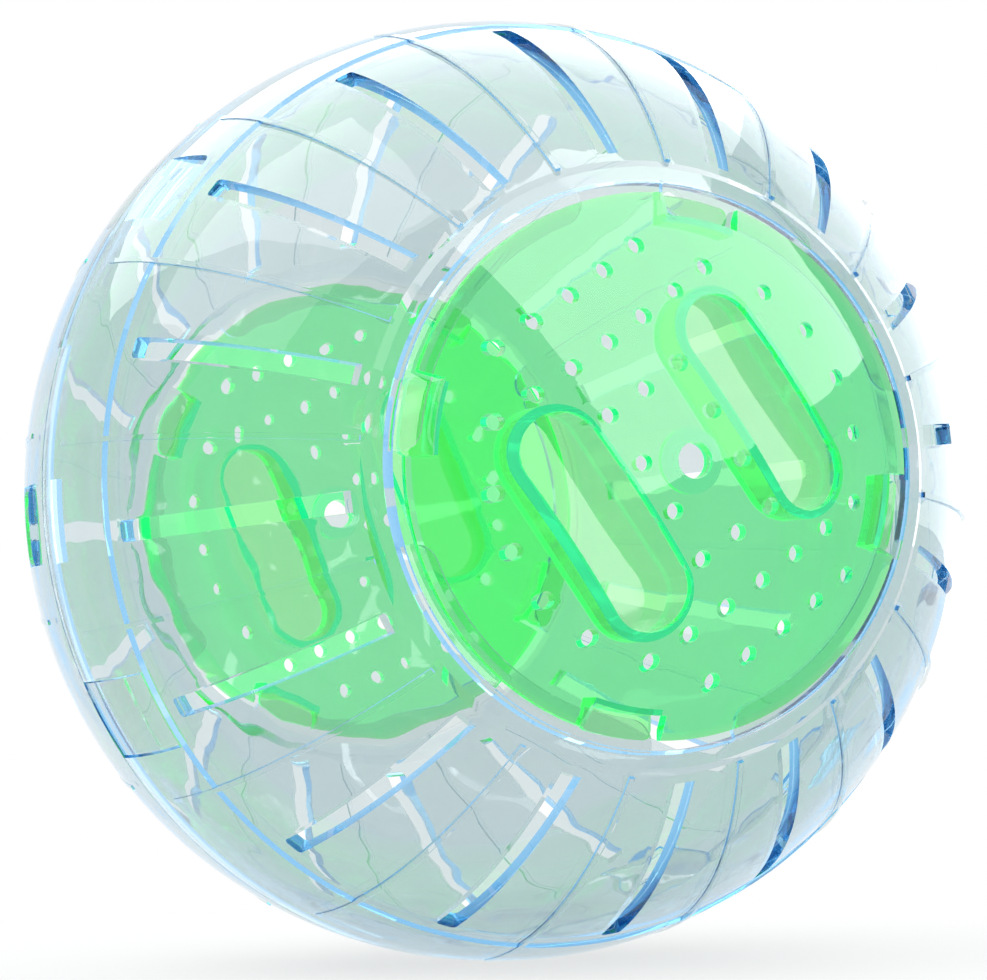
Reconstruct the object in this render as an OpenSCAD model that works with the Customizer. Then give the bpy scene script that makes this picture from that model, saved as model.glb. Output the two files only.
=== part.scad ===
// Clear hamster ball: two snap-together half shells with a twist-in door at each end of the axis.

/* [Ball] */
// Outer diameter of the ball over its equator band
ball_d = 140; // [110:1:180]
// Wall thickness of the clear dome
wall = 2.2; // [1.8:0.1:3]
// Height of the equator band, collar and door face over the dome
band_rise = 0.4; // [0.2:0.1:0.8]
// Height of the equator band over the seam, along the axis
band_h = 20.2; // [17:0.1:24]
// Length of the sloped step at the start of the equator band
step_run = 0.8; // [0.4:0.1:1.5]
// Gap that shows as the seam between the two halves
seam_gap = 0.2; // [0.1:0.05:0.4]
// Angle between the two halves' own zero directions, about the ball's axis
halves_turn = 145.6; // [140:0.1:150]

/* [Slots and ribs] */
// Number of air slots and of ribs around each half
slot_count = 16; // [12:1:20]
// Direction of the first slot
slot_angle = 6.2; // [0:0.1:12]
// Width of an air slot
slot_w = 3; // [2:0.1:4]
// Distance from the collar to a slot's inner end
slot_start = 2.2; // [1.6:0.1:4]
// Distance from a slot's outer end to the equator band, along the axis
slot_end = 2.7; // [2.2:0.1:8]
// Corner radius at a slot's outer end
slot_corner = 0.7; // [0.3:0.1:1]
// Width of a rib
rib_w = 0.75; // [0.5:0.05:1.5]
// Height of the ribs over the equator band
rib_rise = 0.2; // [0.1:0.05:0.24]
// Distance from the collar to a rib's inner end
rib_start = 1.3; // [1:0.1:4]
// Distance from a rib's outer end to the seam, along the axis
rib_end = 7.9; // [6.5:0.1:12]

/* [Collar and lip] */
// Radius of the recess that the door sits in
recess_r = 38.75; // [34:0.05:41]
// Width of the collar outside the recess
collar_w = 2.45; // [2:0.05:3]
// Width of the collar's outer slope
collar_slope = 0.8; // [0.5:0.1:1]
// Depth of the recess below the collar's edge
recess_depth = 0.5; // [0.3:0.05:0.7]
// Width of the lip that holds the door's lugs
lip_w = 4.15; // [3.8:0.05:4.6]
// Thickness of the lip
lip_t = 1.1; // [0.9:0.1:1.3]
// Angle between a lug and each side of its entry notch
notch_gap = 0.85; // [0.5:0.05:2]
// Turn of the door from locked to free, which is from a lug to its notch
unlock_turn = 17.4; // [14:0.1:20]
// Corner radius of the lip beside a notch
lip_corner = 3.4; // [2:0.1:3.5]

/* [Door] */
// Gap around the door's rim
door_gap = 1.4; // [0.8:0.05:1.8]
// Wall thickness of the door
door_wall = 1.8; // [1.5:0.1:2.2]
// Gap between the door's flat rim and the lip
rim_gap = 0.2; // [0.1:0.05:0.3]
// Direction of the front door's short way, locked
door_angle = 34.4; // [0:0.1:90]
// Quarter turns by which the rear door was put in
rear_quarters = 1; // [0:1:3]
// Diameter of the centre hole
hub_hole_d = 5; // [4:0.1:6]
// Diameter of the boss behind the centre hole
hub_d = 8.9; // [7:0.1:9.4]
// Thickness that the boss adds behind the wall
hub_t = 0.8; // [0.4:0.1:1.5]
// Diameter of a vent hole
vent_d = 2.3; // [1.8:0.1:2.8]
// Vent spacing across the pockets
vent_pitch_u = 6.3; // [5.5:0.05:7]
// Distance from the farthest vents of the rows to the wall of the lugs
vent_margin = 2.95; // [2:0.05:4]
// Gap between a pocket's wall and the vents beside it
vent_clear = 0.5; // [0.3:0.05:1]
// Angle from the short way to the arc's inner vents
vent_arc_inner = 8.3; // [7:0.1:10]
// Angle from the short way to the arc's outer vents
vent_arc_outer = 25.4; // [24:0.1:26]

/* [Finger pockets] */
// Width of a pocket's opening
pocket_w = 10.9; // [9:0.1:12]
// Thickness of a pocket's wall and floor
pocket_t = 1; // [0.8:0.1:1.2]
// Depth from the middle of a pocket's edge to its floor
pocket_depth = 8.2; // [5:0.1:9]

/* [Lugs] */
// Half width of a lug, as an angle
lug_half = 8.6; // [7:0.1:9]
// Angle from each side of a lug to the side of the door's cut-out above it
lug_side = 0.3; // [0.1:0.05:0.6]
// Gap between the wall that carries a lug and the lip
lug_wall_gap = 0.6; // [0.3:0.05:0.8]
// Thickness of the wall that carries a lug
lug_wall_t = 1.2; // [1:0.1:1.6]
// Thickness of a lug's flange
lug_t = 1.2; // [1:0.1:1.5]
// Gap between a lug's flange and the underside of the lip
lug_gap = 0.2; // [0.1:0.05:0.3]
// Corner radius of a lug's flange
lug_corner = 1.5; // [1:0.1:2]
// Diameter of a spacer pip under the door's rim
pip_d = 1.5; // [1:0.1:1.8]
// Angle from an entry notch to the pip beyond it
pip_margin = 1.65; // [1.4:0.05:4]
// Gap between a pip and the lip
pip_gap = 0.05; // [0.02:0.01:0.08]

/* [Snap joint] */
// Height of the overlap ring past the seam
lap_h = 2.8; // [2:0.1:3.5]
// Clearance around the overlap ring and the barb
lap_gap = 0.1; // [0.05:0.05:0.15]
// Angle left free at each end of an overlap ring
lap_end = 1; // [0.5:0.1:2]
// Angle from an overlap ring's start to its tongue, and from a window to the end of the ring's room
snap_turn = 44.5; // [40:0.5:50]
// Half width of the snap window, as an angle
window_half = 5.1; // [4:0.1:6]
// Angle from the edge of the band to the snap window
window_margin = 0.7; // [0.6:0.1:2]
// Angle that the snap window is open right through
window_open = 5.6; // [4:0.1:7]
// Thickness of the strap across the rest of the window
strap_t = 0.9; // [0.7:0.1:1]
// Clearance around the tongue in its window
tongue_gap = 0.3; // [0.2:0.05:0.35]
// Depth of the tongue's face below the band
tongue_drop = 0.3; // [0.1:0.1:0.5]
// Angle from the start of an overlap ring to the finger scoop
scoop_turn = 68.9; // [65:0.1:75]
// Half width of the finger scoop, as an angle
scoop_half = 4.8; // [4:0.1:6]
// Angle from the edge of the band to the scoop's deep end
scoop_margin = 2.8; // [2:0.1:4]
// Distance from the scoop's shallow end to the seam, along the axis
scoop_end = 2.4; // [2:0.1:4]
// Depth of the finger scoop
scoop_depth = 1.4; // [0.8:0.1:1.6]
// Corner radius at the scoop's deep end
scoop_corner = 1.5; // [0.8:0.1:2]
// Height of the barb behind the scoop, along the axis
barb_h = 2.8; // [2:0.1:3.2]
// Distance that the barb stands out of the overlap ring
barb_out = 0.5; // [0.3:0.05:0.6]
// Angle from each side of the scoop to the barb behind it
barb_margin = 0.4; // [0.2:0.1:1]

/* [Hidden] */
ball_r = ball_d / 2;
dome_r = ball_r - band_rise;
inner_r = dome_r - wall;
rib_r = ball_r + rib_rise;
overrun = 3 * wall;
cut_far = ball_r + overrun;
cut_near = inner_r - overrun;
pitch = 360 / slot_count;
band_polar = acos(band_h / ball_r);
slot_polar_out = acos((band_h + slot_end) / ball_r);
rib_polar_out = acos(rib_end / ball_r);
collar_r = recess_r + collar_w;
collar_foot = sqrt(ball_r * ball_r - collar_r * collar_r);
collar_z = sqrt(ball_r * ball_r - recess_r * recess_r);
slot_r = collar_r + slot_start;
rib_polar_in = asin((collar_r + rib_start) / ball_r);
lip_r = recess_r - lip_w;
lip_top = collar_z - recess_depth;
lip_low = lip_top - lip_t;
rim_low = lip_top + rim_gap;
lug_top = lip_low - lug_gap;
lug_low = lug_top - lug_t;
door_r = recess_r - door_gap;
door_inner_r = ball_r - door_wall;
lug_angle = door_angle + 45;
lug_wall_r = lip_r - lug_wall_gap;
lug_wall_in = lug_wall_r - lug_wall_t;
lug_wall_top = (sqrt(door_inner_r * door_inner_r - lug_wall_in * lug_wall_in)
    + sqrt(ball_r * ball_r - lug_wall_r * lug_wall_r)) / 2;
notch_width = 2 * (lug_half + notch_gap);
pip_angle = unlock_turn + notch_width / 2 + pip_margin;
// Rows of vents: place as a share of the spacing, and number of vents to each side of the middle
vent_row_shares = [[3.5, 2], [2.5, 3], [1.5, 1]];
// Place of the arc of vents between a pocket and the wall of the lugs
vent_arc_share = 0.515;
vent_reach = lug_wall_in - vent_margin;
vent_last_u = vent_row_shares[0][1] * vent_pitch_u;
vent_pitch_v = sqrt(vent_reach * vent_reach - vent_last_u * vent_last_u) / vent_row_shares[0][0];
pocket_side_u = vent_pitch_u + vent_d / 2 + vent_clear;
pocket_u = pocket_side_u + pocket_t + pocket_w / 2;
pocket_half_l = vent_row_shares[1][0] * vent_pitch_v - vent_d / 2 - vent_clear - pocket_t;
pocket_far_u = pocket_u + pocket_w / 2 + pocket_t;
vent_arc_r = pocket_far_u + (lug_wall_in - pocket_far_u) * vent_arc_share;
pocket_floor = sqrt(ball_r * ball_r - pocket_u * pocket_u) - pocket_depth;
bite = wall / 8;
window_polar = band_polar + window_margin;
strap_polar = window_polar + window_open;
scoop_polar_deep = band_polar + scoop_margin;
scoop_polar_shallow = acos(scoop_end / ball_r);
barb_half = scoop_half - barb_margin;
strap_r = inner_r + strap_t;
tongue_in = strap_r + tongue_gap;
tongue_out = ball_r - tongue_drop;
lap_angle = halves_turn / 2;
window_angle = lap_angle - snap_turn;
tongue_angle = lap_angle + snap_turn;
scoop_angle = lap_angle + scoop_turn;
barb_angle = lap_angle - scoop_turn;
lap_in = inner_r + lap_gap;
lap_out = tongue_in + lap_gap;
lap_root = lap_h / 2;
barb_low = lap_h + 2 * lap_gap;
barb_top = barb_low + barb_h;
degree_share = 3.14159 / 180;
gap_angle = tongue_gap / ball_r / degree_share;
step_angle = step_run / ball_r / degree_share;
big = ball_d;
$fn = 96;

// Point of the profile plane at a radius and an angle from the pole
function at_polar(r, a) = [r * sin(a), r * cos(a)];

// Turn of a thing drawn in the meridian plane to a direction around the axis
module meridian(direction, thick) {
    rotate([0, 0, direction])
        rotate([90, 0, 0])
            linear_extrude(thick, center = true)
                children();
}

// Wedge of the profile plane between two angles from the pole
module wedge(a, b) {
    polygon([[0, 0], at_polar(big, a), at_polar(big, b)]);
}

// Wedge of a flat outline, centred on the first axis
module sector(span) {
    side = [big * cos(span / 2), big * sin(span / 2)];
    polygon([[0, 0], [side[0], -side[1]], side]);
}

// Ring around the axis with a square section, over part of a turn
module ring(r_in, r_out, z_low, z_high, from, turn) {
    rotate([0, 0, from])
        rotate_extrude(angle = turn, $fn = 180)
            translate([r_in, z_low])
                square([r_out - r_in, z_high - z_low]);
}

// Profile of a half shell: dome, equator band and collar
module half_profile() {
    difference() {
        union() {
            circle(dome_r, $fn = 360);
            intersection() {
                circle(ball_r, $fn = 360);
                polygon([
                    [0, 0],
                    at_polar(dome_r - band_rise, band_polar - 1.5 * step_angle),
                    at_polar(ball_r + band_rise, band_polar + 1.5 * step_angle),
                    [big, 0]
                ]);
            }
            intersection() {
                circle(ball_r, $fn = 360);
                polygon([
                    [0, 0],
                    [0, big],
                    [collar_r - collar_slope, collar_foot + collar_fall()],
                    [collar_r + 2 * collar_slope, collar_foot - 2 * collar_fall()],
                    [collar_r + 2 * collar_slope, 0]
                ]);
            }
        }
        circle(inner_r, $fn = 360);
        square([recess_r, big]);
        translate([-big, -big])
            square([big, 2 * big]);
        translate([0, -big])
            square([big, big + seam_gap / 2]);
    }
}

// Fall of the collar's outer slope over its width
function collar_fall() = collar_slope * collar_r / collar_foot + band_rise;

// Cutter for one air slot: straight down at the inner end, square to the wall and rounded at the outer end
module slot_cut() {
    end_polar = slot_polar_out - slot_corner / ball_r / degree_share;
    meridian(0, slot_w)
        polygon([
            [slot_r, sqrt(cut_near * cut_near - slot_r * slot_r)],
            [slot_r, sqrt(cut_far * cut_far - slot_r * slot_r)],
            at_polar(cut_far, end_polar),
            at_polar(cut_near, end_polar)
        ]);
    rotate([0, end_polar, 0])
        translate([0, 0, cut_near])
            linear_extrude(cut_far - cut_near) {
                translate([-slot_corner, -slot_w / 2])
                    square([slot_corner, slot_w]);
                translate([-slot_corner, slot_corner - slot_w / 2])
                    square([2 * slot_corner, slot_w - 2 * slot_corner]);
                for (side = [-1, 1])
                    translate([0, side * (slot_w / 2 - slot_corner)])
                        circle(slot_corner, $fn = 32);
            }
}

// One rib standing on the dome and on the equator band
module rib() {
    meridian(0, rib_w)
        intersection() {
            difference() {
                circle(rib_r, $fn = 360);
                circle(dome_r - wall / 2, $fn = 360);
            }
            wedge(rib_polar_in, rib_polar_out);
        }
}

// One lobe of the lip, between two notches that let the lugs through, with rounded inner corners
module lip_lobe() {
    corner_r = lip_r + lip_corner;
    corner_turn = asin(lip_corner / corner_r);
    span = 90 - notch_width;
    translate([0, 0, lip_low])
        linear_extrude(lip_t)
            intersection() {
                circle(recess_r + bite, $fn = 180);
                union() {
                    difference() {
                        sector(span);
                        circle(corner_r * cos(corner_turn), $fn = 180);
                    }
                    difference() {
                        sector(span - 2 * corner_turn);
                        circle(lip_r, $fn = 180);
                    }
                    for (side = [-1, 1])
                        rotate(side * (span / 2 - corner_turn))
                            translate([corner_r, 0])
                                circle(lip_corner, $fn = 64);
                }
            }
}

// Finger scoop in the band, deep at its far end and running out towards the seam
module scoop_cut() {
    deep = at_polar(ball_r - scoop_depth, scoop_polar_deep);
    run = at_polar(ball_r, scoop_polar_shallow) - deep;
    mid_polar = (scoop_polar_deep + scoop_polar_shallow) / 2;
    scoop_l = ball_r * (scoop_polar_shallow - scoop_polar_deep) * degree_share;
    scoop_w = 2 * ball_r * scoop_half * degree_share;
    intersection() {
        meridian(0, 2 * scoop_w)
            polygon([
                deep - run / 4,
                deep + run * 1.5,
                at_polar(big, scoop_polar_shallow),
                at_polar(big, scoop_polar_deep)
            ]);
        rotate([0, mid_polar, 0])
            translate([0, 0, cut_near])
                linear_extrude(cut_far - cut_near) {
                    translate([scoop_corner - scoop_l / 2, -scoop_w / 2])
                        square([2 * scoop_l, scoop_w]);
                    translate([-scoop_l / 2, scoop_corner - scoop_w / 2])
                        square([scoop_l, scoop_w - 2 * scoop_corner]);
                    for (side = [-1, 1])
                        translate([scoop_corner - scoop_l / 2, side * (scoop_w / 2 - scoop_corner)])
                            circle(scoop_corner, $fn = 48);
                }
    }
}

// Snap window: open right through at its end, and down to the strap nearer the seam
module window_cut() {
    rotate([0, 0, window_angle - window_half])
        rotate_extrude(angle = 2 * window_half, $fn = 360) {
            difference() {
                polygon([
                    at_polar(cut_near, window_polar),
                    at_polar(cut_far, window_polar),
                    [cut_far, -lap_h],
                    [cut_near, -lap_h]
                ]);
                circle(strap_r, $fn = 360);
            }
            polygon([
                at_polar(cut_near, window_polar),
                at_polar(cut_far, window_polar),
                at_polar(cut_far, strap_polar),
                at_polar(cut_near, strap_polar)
            ]);
        }
}

// Snap tongue that reaches past the seam into the other half's window, with its hook behind the strap
module tongue() {
    rotate([0, 0, tongue_angle - window_half + gap_angle])
        rotate_extrude(angle = 2 * (window_half - gap_angle), $fn = 360)
            intersection() {
                difference() {
                    circle(tongue_out, $fn = 360);
                    difference() {
                        circle(tongue_in, $fn = 360);
                        wedge(180 - strap_polar + gap_angle, 180 - band_polar / 2);
                    }
                    circle(lap_in, $fn = 360);
                }
                polygon([
                    at_polar(cut_near, 180 - window_polar - gap_angle),
                    at_polar(cut_far, 180 - window_polar - gap_angle),
                    [cut_far, lap_root],
                    [cut_near, lap_root]
                ]);
            }
}

// Overlap ring in one quarter of the seam, and the barbed tab behind the scoop
module lap() {
    ring(lap_in, lap_out, -lap_h, lap_root, lap_angle + lap_end, 90 - 2 * lap_end);
    rotate([0, 0, scoop_angle - barb_half])
        rotate_extrude(angle = 2 * barb_half, $fn = 180) {
            translate([lap_in + lap_gap, -barb_top])
                square([lap_out - lap_in - 2 * lap_gap, barb_top + lap_root / 2]);
            translate([lap_in + lap_gap, -barb_top])
                square([lap_out + barb_out - lap_in - lap_gap, barb_h]);
        }
}

// Room for the other half's overlap ring and barb
module lap_cut() {
    ring(cut_near, lap_out + lap_gap, -lap_h, lap_h, lap_angle - 90, 90);
    rotate([0, 0, barb_angle - barb_half - lap_end / 2])
        rotate_extrude(angle = 2 * barb_half + lap_end, $fn = 180) {
            translate([cut_near, -lap_h / 2])
                square([lap_out + lap_gap / 2 - cut_near, lap_h]);
            translate([cut_near, 0])
                square([lap_out + lap_gap / 2 - cut_near, barb_top]);
            translate([cut_near, barb_low - lap_gap])
                square([lap_out + barb_out + lap_gap - cut_near, barb_h + 2 * lap_gap]);
        }
}

// One half shell with its own tongues and barbs, and with room for the other half's
module half() {
    difference() {
        rotate_extrude($fn = 360)
            half_profile();
        for (k = [0 : slot_count - 1])
            rotate([0, 0, slot_angle + k * pitch])
                slot_cut();
        for (turn = [0, 180])
            rotate([0, 0, turn]) {
                lap_cut();
                window_cut();
                rotate([0, 0, scoop_angle])
                    scoop_cut();
            }
    }
    for (k = [0 : slot_count - 1])
        rotate([0, 0, slot_angle + (k + 0.5) * pitch])
            rib();
    for (k = [0 : 3])
        rotate([0, 0, lug_angle + unlock_turn + 45 + k * 90])
            lip_lobe();
    for (turn = [0, 180])
        rotate([0, 0, turn]) {
            lap();
            tongue();
        }
}

// Outline of a finger pocket, larger all round by a margin
module pocket_outline(margin) {
    half_l = pocket_half_l - pocket_w / 2;
    translate([-pocket_w / 2 - margin, -half_l])
        square([pocket_w + 2 * margin, 2 * half_l]);
    for (side = [-1, 1])
        translate([0, side * half_l])
            circle(pocket_w / 2 + margin, $fn = 64);
}

// Profile of a door: domed wall cut flat under its rim, and boss
module door_profile() {
    intersection() {
        circle(ball_r, $fn = 360);
        union() {
            difference() {
                translate([0, rim_low])
                    square([door_r, big]);
                circle(door_inner_r, $fn = 360);
            }
            translate([0, door_inner_r - hub_t])
                square([hub_d / 2, big]);
        }
    }
}

// Every vent hole of a door
module vents() {
    translate([0, 0, lug_low]) {
        for (row = vent_row_shares)
            for (side = [-1, 1])
                for (k = [-row[1] : row[1]])
                    translate([k * vent_pitch_u, side * row[0] * vent_pitch_v, 0])
                        cylinder(h = big, d = vent_d, $fn = 24);
        for (side = [-1, 1])
            for (end = [-1, 1])
                translate([side * vent_pitch_u, end * vent_pitch_v / 2, 0])
                    cylinder(h = big, d = vent_d, $fn = 24);
        for (turn = [-vent_arc_outer, -vent_arc_inner, vent_arc_inner, vent_arc_outer])
            for (side = [0, 180])
                rotate([0, 0, turn + side])
                    translate([vent_arc_r, 0, 0])
                        cylinder(h = big, d = vent_d, $fn = 24);
        cylinder(h = big, d = hub_hole_d, $fn = 64);
    }
}

// One lug: wall down from the door's wall and flange out under the lip, with rounded outer corners
module lug() {
    corner_r = door_r - lug_corner;
    corner_turn = asin(lug_corner / corner_r);
    ring(lug_wall_in, lug_wall_r, lug_low, lug_wall_top, -lug_half, 2 * lug_half);
    translate([0, 0, lug_low])
        linear_extrude(lug_t) {
            intersection() {
                difference() {
                    circle(corner_r * cos(corner_turn), $fn = 180);
                    circle(lug_wall_r - lug_wall_t / 2, $fn = 180);
                }
                sector(2 * lug_half);
            }
            intersection() {
                difference() {
                    circle(door_r, $fn = 180);
                    circle(lug_wall_r, $fn = 180);
                }
                sector(2 * (lug_half - corner_turn));
            }
            for (side = [-1, 1])
                rotate(side * (lug_half - corner_turn))
                    translate([corner_r, 0])
                        circle(lug_corner, $fn = 48);
        }
}

// One door, with its short way along the first axis
module door() {
    difference() {
        union() {
            rotate_extrude($fn = 360)
                door_profile();
            for (side = [-1, 1])
                intersection() {
                    sphere(ball_r, $fn = 240);
                    translate([side * pocket_u, 0, pocket_floor - pocket_t])
                        linear_extrude(big)
                            pocket_outline(pocket_t);
                }
        }
        for (side = [-1, 1])
            translate([side * pocket_u, 0, pocket_floor])
                linear_extrude(big)
                    pocket_outline(0);
        vents();
        for (k = [0 : 3])
            rotate([0, 0, 45 + k * 90])
                ring(lug_wall_r, big, lug_low, big, -lug_half - lug_side, 2 * (lug_half + lug_side));
    }
    for (k = [0 : 3])
        rotate([0, 0, 45 + k * 90]) {
            lug();
            for (side = [-1, 1])
                rotate([0, 0, side * pip_angle])
                    translate([door_r - pip_d / 2 - pip_gap, 0, lip_top + pip_gap])
                        cylinder(h = rim_gap, d = pip_d, $fn = 32);
        }
}

// Place for the front end: the ball's axis lies level and the front door faces the viewer
module front_end() {
    rotate([90, 0, 0])
        children();
}

// Place for the rear end: the same moulding turned over about a line in the seam
module rear_end() {
    rotate([90, 0, 0])
        rotate([0, 0, lap_angle])
            rotate([180, 0, 0])
                rotate([0, 0, -lap_angle])
                    children();
}

module front_half() {
    color([0.86, 0.93, 0.94, 0.4])
        front_end()
            half();
}

module rear_half() {
    color([0.84, 0.92, 0.94, 0.4])
        rear_end()
            half();
}

module front_door() {
    color([0.45, 0.95, 0.55, 0.6])
        front_end()
            rotate([0, 0, door_angle])
                door();
}

module rear_door() {
    color([0.42, 0.93, 0.52, 0.6])
        rear_end()
            rotate([0, 0, door_angle + 90 * rear_quarters])
                door();
}

front_half();
rear_half();
front_door();
rear_door();
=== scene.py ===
"""Clear hamster ball with green twist-in doors: materials, studio and camera.

Lengths are in metres, angles in degrees, and colours are linear red, green and blue.
"""
import math

import bpy
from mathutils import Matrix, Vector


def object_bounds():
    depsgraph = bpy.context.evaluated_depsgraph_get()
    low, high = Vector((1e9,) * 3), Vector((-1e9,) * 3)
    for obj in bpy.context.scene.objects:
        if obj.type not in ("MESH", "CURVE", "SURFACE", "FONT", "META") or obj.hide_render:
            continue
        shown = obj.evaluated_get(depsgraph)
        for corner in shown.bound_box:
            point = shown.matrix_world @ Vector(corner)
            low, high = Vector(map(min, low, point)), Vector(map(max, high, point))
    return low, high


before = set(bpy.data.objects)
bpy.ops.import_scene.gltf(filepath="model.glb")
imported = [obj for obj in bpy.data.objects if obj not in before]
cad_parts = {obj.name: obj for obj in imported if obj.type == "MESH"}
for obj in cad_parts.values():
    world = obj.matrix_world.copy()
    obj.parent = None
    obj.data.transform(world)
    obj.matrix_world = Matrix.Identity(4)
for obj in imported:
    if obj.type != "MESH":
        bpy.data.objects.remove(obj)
cad_box = [list(corner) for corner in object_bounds()]

WHITE = (1, 1, 1, 1)

PLASTIC_IOR = 1.5
# Noise scales of the moulded waves and of the finer flow marks
WAVE_SCALE = 90.0
MARK_SCALE = 6 * WAVE_SCALE
# Noise values at which a flow mark starts and is full
MARK_START = 0.35
MARK_FULL = 0.75
# Roughness between the flow marks, as a share of that in them
POLISH_SHARE = 0.4
# Deepest tint in the waves, as a share of the palest
SHADE_SHARE = 0.94
# Last reflection inside the plastic, and last bounce of all, at which light is still followed; past them
# the plastic shows its painted glow
LAST_DEPTHS = {"Glossy Depth": 3.5, "Ray Depth": 11.5}

SKY_STRENGTH = 0.9
# Heights, as shares of the way from straight down to straight up, and the sky's colours there
SKY_STOPS = ((0.25, (0.4, 0.45, 0.45)), (0.75, (0.9, 0.94, 0.96)))

FLOOR_RADIUS = 3.0
FLOOR_CORNERS = 96
FLOOR_ROUGHNESS = 0.9
FLOOR_GREYS = (0.9, 0.93)
SPECK_SCALE = 60.0
# Distances from under the ball at which its shadow starts to fade and is gone
SHADOW_FADES = 0.02
SHADOW_GONE = 0.16
# Share of plain white in the floor where the shadow is fullest
SHADOW_WHITE_SHARE = 0.7

CAMERA_PLACE = (-0.22285, -0.53497, -0.03184)
CAMERA_TURN = (93.159, 1.195, -22.538)
# Focal length and sensor width, in millimetres, and the nearest distance that shows
LENS_MM = 141.19
SENSOR_MM = 36.0
NEAREST = 0.01


def node_of(nodes, kind, **values):
    """A new node with these values on its inputs."""
    node = nodes.new(kind)
    for name, value in values.items():
        node.inputs[name.replace("_", " ")].default_value = value
    return node


def math_of(tree, operation, first, second):
    """The result of a new math node of two things, each a link from another node or a number."""
    node = tree.nodes.new("ShaderNodeMath")
    node.operation = operation
    for slot, value in enumerate((first, second)):
        if isinstance(value, float):
            node.inputs[slot].default_value = value
        else:
            tree.links.new(value, node.inputs[slot])
    return node.outputs["Value"]


def noise_of(tree, place, scale):
    """The value of a new soft noise at a place."""
    noise = node_of(tree.nodes, "ShaderNodeTexNoise", Scale=scale, Detail=1.0)
    tree.links.new(place, noise.inputs["Vector"])
    return noise.outputs["Fac"]


def seen(tree):
    """1 for what the camera sees directly, through plastic or mirrored, and 0 for all other light."""
    path = tree.nodes.new("ShaderNodeLightPath")
    through = math_of(tree, "MAXIMUM", path.outputs["Is Camera Ray"], path.outputs["Is Transmission Ray"])
    return math_of(tree, "MAXIMUM", through, path.outputs["Is Glossy Ray"])


def caught(tree):
    """1 for light that is still caught inside the plastic at its last bounce, where the plastic shows its
    painted glow, and 0 for all other light.
    """
    path = tree.nodes.new("ShaderNodeLightPath")
    late = [math_of(tree, "GREATER_THAN", path.outputs[kind], last) for kind, last in LAST_DEPTHS.items()]
    return math_of(tree, "MAXIMUM", *late)


def whiten(tree, share, lit, white, output):
    """Sends the lit surface to the output, with plain white over that share of it."""
    mix = tree.nodes.new("ShaderNodeMixShader")
    tree.links.new(share, mix.inputs["Fac"])
    tree.links.new(lit, mix.inputs[1])
    tree.links.new(white, mix.inputs[2])
    tree.links.new(mix.outputs["Shader"], tree.nodes[output].inputs["Surface"])


def clear_plastic(name, tint, wave, absorb, density, rough, painted_glow):
    """Polished transparent plastic with slightly wavy moulded faces and faint flow marks.

    The tint lies on its faces, the absorbed colour deepens inside, and where light is still caught
    inside at its last bounce the plastic shows a painted glow in the given edge colour.
    """
    mat = bpy.data.materials.new(name)
    mat.use_nodes = True
    tree = mat.node_tree
    nodes, links = tree.nodes, tree.links
    shader = nodes["Principled BSDF"]
    shader.inputs["IOR"].default_value = PLASTIC_IOR
    shader.inputs["Transmission Weight"].default_value = 1.0
    place = nodes.new("ShaderNodeTexCoord").outputs["Object"]

    waves = noise_of(tree, place, WAVE_SCALE)
    bump = node_of(nodes, "ShaderNodeBump", Strength=1.0, Distance=wave)
    links.new(waves, bump.inputs["Height"])
    links.new(bump.outputs["Normal"], shader.inputs["Normal"])

    haze = node_of(nodes, "ShaderNodeMapRange", From_Min=MARK_START, From_Max=MARK_FULL)
    haze.inputs["To Min"].default_value = rough * POLISH_SHARE
    haze.inputs["To Max"].default_value = rough
    links.new(noise_of(tree, place, MARK_SCALE), haze.inputs["Value"])
    links.new(haze.outputs["Result"], shader.inputs["Roughness"])

    shade = nodes.new("ShaderNodeMix")
    shade.data_type = "RGBA"
    shade.inputs["A"].default_value = (*tint, 1)
    shade.inputs["B"].default_value = (*[SHADE_SHARE * part for part in tint], 1)
    links.new(waves, shade.inputs["Factor"])
    links.new(shade.outputs["Result"], shader.inputs["Base Color"])

    volume = node_of(nodes, "ShaderNodeVolumeAbsorption", Color=(*absorb, 1), Density=density)
    links.new(volume.outputs["Volume"], nodes["Material Output"].inputs["Volume"])

    # Painted glow: rays still caught inside at their last bounce get the painted edge colour as emission
    links.new(caught(tree), shader.inputs["Emission Strength"])
    shader.inputs["Emission Color"].default_value = (*painted_glow, 1)
    return mat


def studio_world():
    """Plain even light from a pale sky, and white behind everything that is seen."""
    world = bpy.data.worlds.new("studio")
    bpy.context.scene.world = world
    world.use_nodes = True
    tree = world.node_tree
    nodes, links = tree.nodes, tree.links
    light = nodes["Background"]
    light.inputs["Strength"].default_value = SKY_STRENGTH
    coord = nodes.new("ShaderNodeTexCoord")
    axes = nodes.new("ShaderNodeSeparateXYZ")
    height = node_of(nodes, "ShaderNodeMapRange", From_Min=-1.0)
    ramp = nodes.new("ShaderNodeValToRGB")
    for stop, (share, colour) in zip(ramp.color_ramp.elements, SKY_STOPS):
        stop.position = share
        stop.color = (*colour, 1)
    links.new(coord.outputs["Generated"], axes.inputs["Vector"])
    links.new(axes.outputs["Z"], height.inputs["Value"])
    links.new(height.outputs["Result"], ramp.inputs["Fac"])
    links.new(ramp.outputs["Color"], light.inputs["Color"])
    white = node_of(nodes, "ShaderNodeBackground", Color=WHITE, Strength=1.0)
    whiten(tree, seen(tree), light.outputs["Background"], white.outputs["Background"], "World Output")


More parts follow.
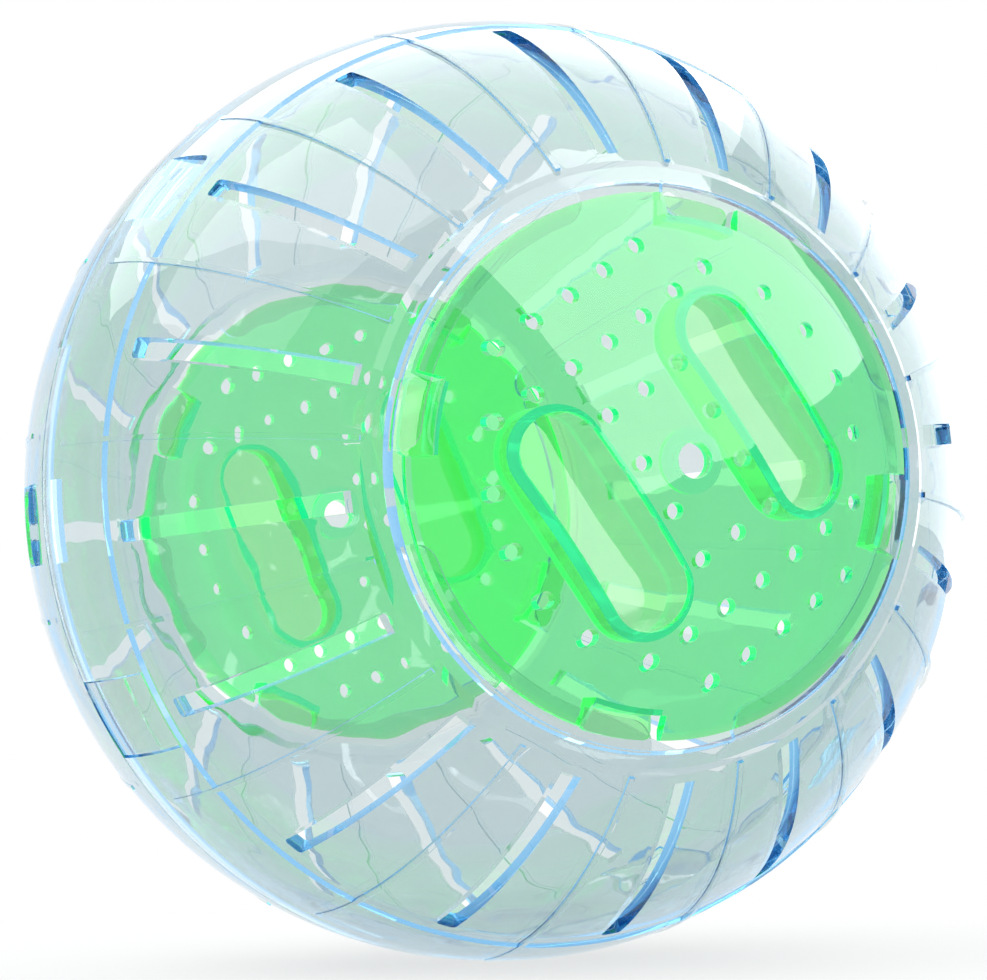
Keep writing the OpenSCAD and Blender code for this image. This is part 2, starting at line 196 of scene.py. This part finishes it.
def floor_white():
    """White floor with faint specks, which shows as plain white away from the ball."""
    mat = bpy.data.materials.new("floor_white")
    mat.use_nodes = True
    tree = mat.node_tree
    nodes, links = tree.nodes, tree.links
    shader = nodes["Principled BSDF"]
    shader.inputs["Roughness"].default_value = FLOOR_ROUGHNESS
    speck = node_of(nodes, "ShaderNodeTexNoise", Scale=SPECK_SCALE)
    tone = node_of(nodes, "ShaderNodeMapRange", To_Min=FLOOR_GREYS[0], To_Max=FLOOR_GREYS[1])
    links.new(speck.outputs["Fac"], tone.inputs["Value"])
    links.new(tone.outputs["Result"], shader.inputs["Base Color"])

    coord = nodes.new("ShaderNodeTexCoord")
    away = nodes.new("ShaderNodeVectorMath")
    away.operation = "LENGTH"
    links.new(coord.outputs["Object"], away.inputs[0])
    fade = node_of(nodes, "ShaderNodeMapRange", From_Min=SHADOW_FADES, From_Max=SHADOW_GONE)
    fade.inputs["To Min"].default_value = SHADOW_WHITE_SHARE
    fade.interpolation_type = "SMOOTHSTEP"
    links.new(away.outputs["Value"], fade.inputs["Value"])
    share = math_of(tree, "MULTIPLY", seen(tree), fade.outputs["Result"])
    white = node_of(nodes, "ShaderNodeEmission", Color=WHITE, Strength=1.0)
    whiten(tree, share, shader.outputs["BSDF"], white.outputs["Emission"], "Material Output")
    return mat


def floor():
    """Plain round floor under the ball that keeps its soft shadow."""
    lowest = (0, 0, cad_box[0][2])
    bpy.ops.mesh.primitive_circle_add(
        vertices=FLOOR_CORNERS, radius=FLOOR_RADIUS, fill_type="NGON", location=lowest
    )
    ground = bpy.context.object
    ground.name = "floor"
    ground.data.materials.append(floor_white())


def softbox(name, place, turn, wide, high, radiance, mirrored_only=True):
    """One flat soft light that the camera doesn't see, neither directly nor through the plastic.

    One that is only mirrored shows in the plastic and leaves the plain light as it is.
    """
    data = bpy.data.lights.new(name, "AREA")
    data.shape = "RECTANGLE"
    data.size = wide
    data.size_y = high
    data.energy = radiance * math.pi * wide * high
    lamp = bpy.data.objects.new(name, data)
    bpy.context.collection.objects.link(lamp)
    lamp.location = place
    lamp.rotation_euler = [math.radians(angle) for angle in turn]
    lamp.visible_camera = False
    lamp.visible_transmission = False
    lamp.visible_diffuse = not mirrored_only


def camera():
    """The photograph's point of view, from the left of the front door and a little below its centre."""
    lens = bpy.data.cameras.new("camera")
    lens.lens = LENS_MM
    lens.sensor_width = SENSOR_MM
    lens.clip_start = NEAREST
    viewer = bpy.data.objects.new("camera", lens)
    bpy.context.collection.objects.link(viewer)
    viewer.location = CAMERA_PLACE
    viewer.rotation_euler = [math.radians(angle) for angle in CAMERA_TURN]
    bpy.context.scene.camera = viewer


shell = clear_plastic(
    "clear_shell",
    tint=(0.835, 0.87, 0.855),
    wave=0.00016,
    absorb=(0.05, 0.5, 0.72),
    density=62.0,
    rough=0.03,
    # painted pale blue glow where light is caught inside the clear shell
    painted_glow=(0.52, 0.64, 0.74),
)
green = clear_plastic(
    "green_door",
    tint=(0.6, 0.98, 0.43),
    wave=0.00006,
    absorb=(0.0, 0.99, 0.93),
    density=450.0,
    rough=0.04,
    # painted green glow where light is caught inside the door
    painted_glow=(0.01, 0.85, 0.28),
)
plastics = {"front_half": shell, "rear_half": shell, "front_door": green, "rear_door": green}
for name, plastic in plastics.items():
    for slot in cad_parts[name].material_slots:
        slot.material = plastic

studio_world()
floor()
softbox("key", place=(0.369, -0.784, 1.46), turn=(79.3, -20.6, 36.05), wide=1.87, high=2.7, radiance=4.5)
softbox("sky", place=(0.0, 0.5, 1.3), turn=(-21.0, 0.0, 0.0), wide=2.4, high=2.4, radiance=2.0)
softbox("side", place=(1.0, 0.7, 0.35), turn=(74.0, 0.0, 125.0), wide=1.3, high=1.3, radiance=1.2)
softbox(
    "fill", place=(-0.67, 0.12, 0.87), turn=(38.0, 0.0, 259.8), wide=0.9, high=0.9, radiance=1.6,
    mirrored_only=False,
)
camera()
bpy.context.scene.view_settings.view_transform = "Standard"
